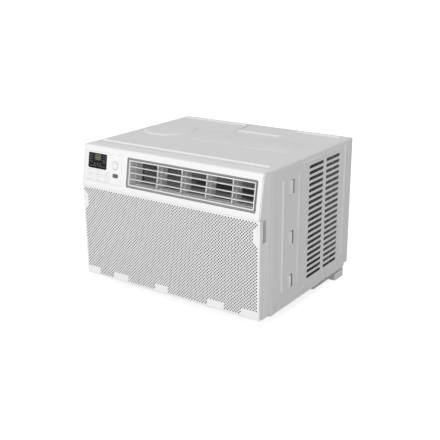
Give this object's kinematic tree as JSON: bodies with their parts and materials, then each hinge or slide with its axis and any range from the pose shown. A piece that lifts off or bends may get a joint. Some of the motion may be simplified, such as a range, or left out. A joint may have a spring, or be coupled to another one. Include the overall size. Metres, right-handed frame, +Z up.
{
  "type": "window air conditioner",
  "caption": "Window air conditioner: white bezel with tip-out inlet grille, louvred outlet and key panel on a vented steel cabinet with fan and coils.",
  "frame": {"origin": "middle of the footprint, on the surface that the feet stand on", "axes": "+Z up, the front faces -Y, +X to the right as seen from the front"},
  "size_m": [0.475, 0.394, 0.334],
  "materials": {
    "bezel_plastic": "fine satin grain",
    "blade_plastic": "satin",
    "vane_plastic": "satin",
    "surround_plastic": "satin",
    "duct_foam": "moulded foam",
    "fascia_plastic": "smooth satin",
    "button_dark": "satin",
    "display_glass": "gloss",
    "circuit_board": "solder mask",
    "cabinet_paint": "powder coat",
    "galvanised_steel": "zinc spangle",
    "coil_fins": "stamped",
    "copper_tube": "drawn",
    "compressor_paint": "semi-gloss",
    "motor_paint": "semi-gloss",
    "fan_plastic": "moulded",
    "capacitor_can": "satin",
    "filter_plastic": "woven mesh",
    "rubber": "matt"
  },
  "bodies": {
    "housing": {"front_bezel": "bezel_plastic", "bezel_cheeks": "bezel_plastic", "inlet_plate": "bezel_plastic", "outlet_surround": "surround_plastic", "outlet_frame": "bezel_plastic", "vane_carrier": "vane_plastic", "outlet_duct": "duct_foam", "control_fascia": "fascia_plastic", "display_lens": "display_glass", "control_board": "circuit_board", "cabinet_wrap": "cabinet_paint", "base_pan": "galvanised_steel", "rear_feet": "cabinet_paint", "front_feet": "rubber", "rear_panel": "cabinet_paint", "evaporator_coil": "coil_fins", "evaporator_tubes": "copper_tube", "condenser_coil": "coil_fins", "condenser_tubes": "copper_tube", "blower_housing": "duct_foam", "bulkhead": "duct_foam", "motor_bracket": "galvanised_steel", "fan_motor": "motor_paint", "fan_shroud": "fan_plastic", "compressor": "compressor_paint", "compressor_grommets": "rubber", "compressor_nuts": "galvanised_steel", "accumulator": "compressor_paint", "refrigerant_pipes": "copper_tube", "capillary_coil": "copper_tube", "filter_drier": "copper_tube", "run_capacitor": "capacitor_can", "electric_box": "galvanised_steel", "cord_gland": "rubber", "drain_plug": "rubber", "case_screws": "galvanised_steel"},
    "grille": {"inlet_grille": "bezel_plastic", "grille_pins": "galvanised_steel", "filter_frame": "filter_plastic", "filter_mesh": "filter_plastic"},
    "blade_1": {"louvre_blade_1": "blade_plastic"},
    "blade_2": {"louvre_blade_2": "blade_plastic"},
    "blade_3": {"louvre_blade_3": "blade_plastic"},
    "blade_bar": {"blade_link": "blade_plastic"},
    "vane_a": {"vane_1": "vane_plastic"},
    "vane_b": {"vane_2": "vane_plastic"},
    "vane_c": {"vane_3": "vane_plastic"},
    "vane_d": {"vane_4": "vane_plastic"},
    "vane_bar": {"vane_link": "vane_plastic"},
    "rotor": {"fan_shaft": "galvanised_steel", "blower_wheel": "fan_plastic", "slinger_fan": "fan_plastic"},
    "mode_key_cap": {"mode_key": "fascia_plastic"},
    "fan_key_cap": {"fan_key": "fascia_plastic"},
    "timer_key_cap": {"timer_key": "fascia_plastic"},
    "eco_key_cap": {"eco_key": "fascia_plastic"},
    "sleep_key_cap": {"sleep_key": "fascia_plastic"},
    "swing_key_cap": {"swing_key": "fascia_plastic"},
    "power_button_cap": {"power_button": "button_dark"},
    "temp_rocker_cap": {"temp_rocker": "fascia_plastic"}
  },
  "joints": [
    {"name": "grille_tilt", "type": "hinge", "parent": "housing", "child": "grille", "pos_m": [0, -0.1905, 0.0345], "axis": [1, 0, 0], "range_deg": [0, 60]},
    {"name": "blade_1_tilt", "type": "hinge", "parent": "housing", "child": "blade_1", "pos_m": [0.0576, -0.18438, 0.27184], "axis": [1, 0, 0], "range_deg": [-25, 25]},
    {"name": "blade_2_tilt", "type": "hinge", "parent": "housing", "child": "blade_2", "pos_m": [0.0576, -0.18219, 0.28506], "axis": [1, 0, 0], "range_deg": [-25, 25]},
    {"name": "blade_3_tilt", "type": "hinge", "parent": "housing", "child": "blade_3", "pos_m": [0.0576, -0.17999, 0.29828], "axis": [1, 0, 0], "range_deg": [-25, 25]},
    {"name": "blade_bar_swing", "type": "hinge", "parent": "blade_2", "child": "blade_bar", "pos_m": [0.2084, -0.1738, 0.28367], "axis": [1, 0, 0], "range_deg": [-25, 25]},
    {"name": "vane_a_turn", "type": "hinge", "parent": "housing", "child": "vane_a", "pos_m": [-0.0361, -0.159, 0.28121], "axis": [0, 0.1637, 0.9865], "range_deg": [-30, 30]},
    {"name": "vane_b_turn", "type": "hinge", "parent": "housing", "child": "vane_b", "pos_m": [0.0277, -0.159, 0.28121], "axis": [0, 0.1637, 0.9865], "range_deg": [-30, 30]},
    {"name": "vane_c_turn", "type": "hinge", "parent": "housing", "child": "vane_c", "pos_m": [0.0915, -0.159, 0.28121], "axis": [0, 0.1637, 0.9865], "range_deg": [-30, 30]},
    {"name": "vane_d_turn", "type": "hinge", "parent": "housing", "child": "vane_d", "pos_m": [0.1553, -0.159, 0.28121], "axis": [0, 0.1637, 0.9865], "range_deg": [-30, 30]},
    {"name": "vane_bar_swing", "type": "hinge", "parent": "vane_b", "child": "vane_bar", "pos_m": [0.0309, -0.14612, 0.28556], "axis": [0, 0.1637, 0.9865], "range_deg": [-30, 30]},
    {"name": "rotor_spin", "type": "hinge", "parent": "housing", "child": "rotor", "pos_m": [0.0576, 0.003, 0.16], "axis": [0, 1, 0], "continuous": true},
    {"name": "mode_key_press", "type": "slide", "parent": "housing", "child": "mode_key_cap", "axis": [0, 0.9865, -0.1637], "range_m": [0, 0.0008], "stiffness_N_per_m": 600},
    {"name": "fan_key_press", "type": "slide", "parent": "housing", "child": "fan_key_cap", "axis": [0, 0.9865, -0.1637], "range_m": [0, 0.0008], "stiffness_N_per_m": 600},
    {"name": "timer_key_press", "type": "slide", "parent": "housing", "child": "timer_key_cap", "axis": [0, 0.9865, -0.1637], "range_m": [0, 0.0008], "stiffness_N_per_m": 600},
    {"name": "eco_key_press", "type": "slide", "parent": "housing", "child": "eco_key_cap", "axis": [0, 0.9865, -0.1637], "range_m": [0, 0.0008], "stiffness_N_per_m": 600},
    {"name": "sleep_key_press", "type": "slide", "parent": "housing", "child": "sleep_key_cap", "axis": [0, 0.9865, -0.1637], "range_m": [0, 0.0008], "stiffness_N_per_m": 600},
    {"name": "swing_key_press", "type": "slide", "parent": "housing", "child": "swing_key_cap", "axis": [0, 0.9865, -0.1637], "range_m": [0, 0.0008], "stiffness_N_per_m": 600},
    {"name": "power_button_press", "type": "slide", "parent": "housing", "child": "power_button_cap", "axis": [0, 0.9865, -0.1637], "range_m": [0, 0.0008], "stiffness_N_per_m": 600},
    {"name": "temp_rocker_tilt", "type": "hinge", "parent": "housing", "child": "temp_rocker_cap", "pos_m": [-0.141, -0.18089, 0.29468], "axis": [1, 0, 0], "range_deg": [-3.5, 3.5], "stiffness_Nm_per_rad": 0.15}
  ],
  "couplings": [
    {"joint": "blade_1_tilt", "follows": "blade_2_tilt", "ratio": 1},
    {"joint": "blade_3_tilt", "follows": "blade_2_tilt", "ratio": 1},
    {"joint": "blade_bar_swing", "follows": "blade_2_tilt", "ratio": -1},
    {"joint": "vane_a_turn", "follows": "vane_b_turn", "ratio": 1},
    {"joint": "vane_c_turn", "follows": "vane_b_turn", "ratio": 1},
    {"joint": "vane_d_turn", "follows": "vane_b_turn", "ratio": 1},
    {"joint": "vane_bar_swing", "follows": "vane_b_turn", "ratio": -1}
  ]
}
